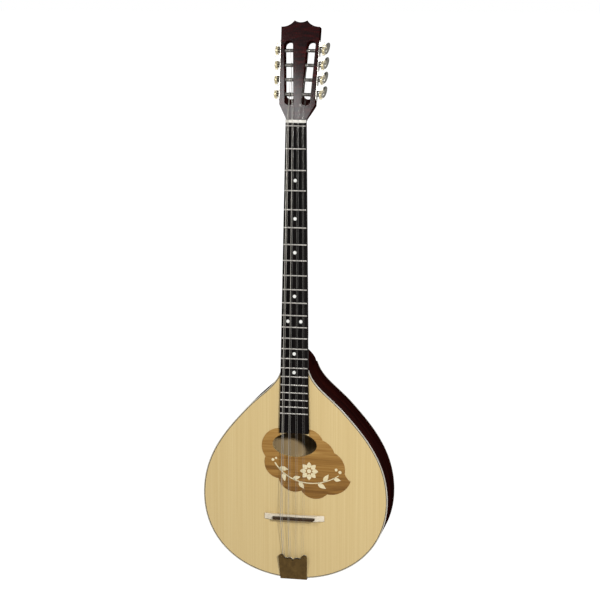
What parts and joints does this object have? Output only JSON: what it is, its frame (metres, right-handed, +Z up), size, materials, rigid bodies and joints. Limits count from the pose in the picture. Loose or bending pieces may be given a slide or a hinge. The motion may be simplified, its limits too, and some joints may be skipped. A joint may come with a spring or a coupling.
{
  "type": "irish bouzouki",
  "caption": "Long-necked plucked instrument with a flat-backed teardrop body, oval sound hole, scalloped guard, slotted headstock with side tuning machines and a floating bridge.",
  "frame": {"origin": "middle of the headstock's flare, 22 mm above the zero fret, where a hanger's fork catches the head", "axes": "+Z up along the strings towards the head, the soundboard faces -Y, the bass side is at -X"},
  "size_m": [0.318, 0.1015, 0.9453],
  "materials": {
    "binding": "off-white with a thin dark line beside it",
    "bone": "white, polished edge",
    "brace_spruce": "bare softwood",
    "brass": "turned brass, lightly worn",
    "bridge_wood": "pale, lightly waxed",
    "bronze": "dark bronze-coloured plate",
    "dark_mahogany": "near-black red stain under gloss lacquer",
    "figured_veneer": "gloss dark red-brown veneer with a faint cross figure",
    "nickel": "grey nickel plate",
    "rosewood": "satin near-black, unlacquered",
    "spruce": "satin clear lacquer over straight-grained spruce",
    "steel": "plain steel",
    "string_steel": "plain and wound steel",
    "walnut": "satin, grain running across"
  },
  "bodies": {
    "instrument": {"back_binding": "binding", "back_brace_lower": "brace_spruce", "back_brace_middle": "brace_spruce", "back_brace_upper": "brace_spruce", "back_lining_bass": "brace_spruce", "back_lining_treble": "brace_spruce", "back_plate": "dark_mahogany", "fretboard": "rosewood", "guard": "walnut", "head_veneer": "figured_veneer", "neck": "dark_mahogany", "neck_bar": "steel", "neck_block": "brace_spruce", "nut": "bone", "rim_bass": "dark_mahogany", "rim_treble": "dark_mahogany", "soundboard": "spruce", "string_1": "string_steel", "string_2": "string_steel", "string_3": "string_steel", "string_4": "string_steel", "string_5": "string_steel", "string_6": "string_steel", "string_7": "string_steel", "string_8": "string_steel", "tail_block": "brace_spruce", "tailpiece_cover": "bronze", "tailpiece_hook_plate": "steel", "tailpiece_rivet_bass": "bronze", "tailpiece_rivet_treble": "bronze", "tailpiece_screw_bass": "steel", "tailpiece_screw_treble": "steel", "top_binding": "binding", "top_brace_lower": "brace_spruce", "top_brace_middle": "brace_spruce", "top_brace_upper": "brace_spruce", "top_lining_bass": "brace_spruce", "top_lining_treble": "brace_spruce", "tuner_plate_bass": "nickel", "tuner_plate_treble": "nickel", "zero_fret": "string_steel"},
    "bridge": {"bridge_base": "bridge_wood", "bridge_saddle": "rosewood"},
    "key_1": {"tuner_key_1": "nickel"},
    "post_1": {"tuner_post_1": "brass"},
    "key_2": {"tuner_key_2": "nickel"},
    "post_2": {"tuner_post_2": "brass"},
    "key_3": {"tuner_key_3": "nickel"},
    "post_3": {"tuner_post_3": "brass"},
    "key_4": {"tuner_key_4": "nickel"},
    "post_4": {"tuner_post_4": "brass"},
    "key_5": {"tuner_key_5": "nickel"},
    "post_5": {"tuner_post_5": "brass"},
    "key_6": {"tuner_key_6": "nickel"},
    "post_6": {"tuner_post_6": "brass"},
    "key_7": {"tuner_key_7": "nickel"},
    "post_7": {"tuner_post_7": "brass"},
    "key_8": {"tuner_key_8": "nickel"},
    "post_8": {"tuner_post_8": "brass"}
  },
  "joints": [
    {"name": "bridge_slide", "type": "slide", "parent": "instrument", "child": "bridge", "axis": [0, 0, 1], "range_m": [-0.003, 0.003]},
    {"name": "key_1_turn", "type": "hinge", "parent": "instrument", "child": "key_1", "pos_m": [-0.03793, 0.00728, 0.03657], "axis": [0, 0.9724, -0.2334], "continuous": true},
    {"name": "post_1_turn", "type": "hinge", "parent": "instrument", "child": "post_1", "pos_m": [-0.03025, 0.00512, 0.02758], "axis": [0.9998, 0.0047, 0.0195], "continuous": true},
    {"name": "key_2_turn", "type": "hinge", "parent": "instrument", "child": "key_2", "pos_m": [-0.03842, 0.01297, 0.0603], "axis": [0, 0.9724, -0.2334], "continuous": true},
    {"name": "post_2_turn", "type": "hinge", "parent": "instrument", "child": "post_2", "pos_m": [-0.03074, 0.01081, 0.05131], "axis": [0.9998, 0.0047, 0.0195], "continuous": true},
    {"name": "key_3_turn", "type": "hinge", "parent": "instrument", "child": "key_3", "pos_m": [-0.03891, 0.01867, 0.08402], "axis": [0, 0.9724, -0.2334], "continuous": true},
    {"name": "post_3_turn", "type": "hinge", "parent": "instrument", "child": "post_3", "pos_m": [-0.03123, 0.01651, 0.07503], "axis": [0.9998, 0.0047, 0.0195], "continuous": true},
    {"name": "key_4_turn", "type": "hinge", "parent": "instrument", "child": "key_4", "pos_m": [-0.0394, 0.02436, 0.10775], "axis": [0, 0.9724, -0.2334], "continuous": true},
    {"name": "post_4_turn", "type": "hinge", "parent": "instrument", "child": "post_4", "pos_m": [-0.03172, 0.02221, 0.09876], "axis": [0.9998, 0.0047, 0.0195], "continuous": true},
    {"name": "key_5_turn", "type": "hinge", "parent": "instrument", "child": "key_5", "pos_m": [0.03793, 0.00728, 0.03657], "axis": [0, 0.9724, -0.2334], "continuous": true},
    {"name": "post_5_turn", "type": "hinge", "parent": "instrument", "child": "post_5", "pos_m": [0.03025, 0.00512, 0.02758], "axis": [0.9998, -0.0047, -0.0195], "continuous": true},
    {"name": "key_6_turn", "type": "hinge", "parent": "instrument", "child": "key_6", "pos_m": [0.03842, 0.01297, 0.0603], "axis": [0, 0.9724, -0.2334], "continuous": true},
    {"name": "post_6_turn", "type": "hinge", "parent": "instrument", "child": "post_6", "pos_m": [0.03074, 0.01081, 0.05131], "axis": [0.9998, -0.0047, -0.0195], "continuous": true},
    {"name": "key_7_turn", "type": "hinge", "parent": "instrument", "child": "key_7", "pos_m": [0.03891, 0.01867, 0.08402], "axis": [0, 0.9724, -0.2334], "continuous": true},
    {"name": "post_7_turn", "type": "hinge", "parent": "instrument", "child": "post_7", "pos_m": [0.03123, 0.01651, 0.07503], "axis": [0.9998, -0.0047, -0.0195], "continuous": true},
    {"name": "key_8_turn", "type": "hinge", "parent": "instrument", "child": "key_8", "pos_m": [0.0394, 0.02436, 0.10775], "axis": [0, 0.9724, -0.2334], "continuous": true},
    {"name": "post_8_turn", "type": "hinge", "parent": "instrument", "child": "post_8", "pos_m": [0.03172, 0.02221, 0.09876], "axis": [0.9998, -0.0047, -0.0195], "continuous": true}
  ],
  "couplings": [
    {"joint": "post_1_turn", "follows": "key_1_turn", "ratio": 0.071429},
    {"joint": "post_2_turn", "follows": "key_2_turn", "ratio": 0.071429},
    {"joint": "post_3_turn", "follows": "key_3_turn", "ratio": 0.071429},
    {"joint": "post_4_turn", "follows": "key_4_turn", "ratio": 0.071429},
    {"joint": "post_5_turn", "follows": "key_5_turn", "ratio": 0.071429},
    {"joint": "post_6_turn", "follows": "key_6_turn", "ratio": 0.071429},
    {"joint": "post_7_turn", "follows": "key_7_turn", "ratio": 0.071429},
    {"joint": "post_8_turn", "follows": "key_8_turn", "ratio": 0.071429}
  ]
}
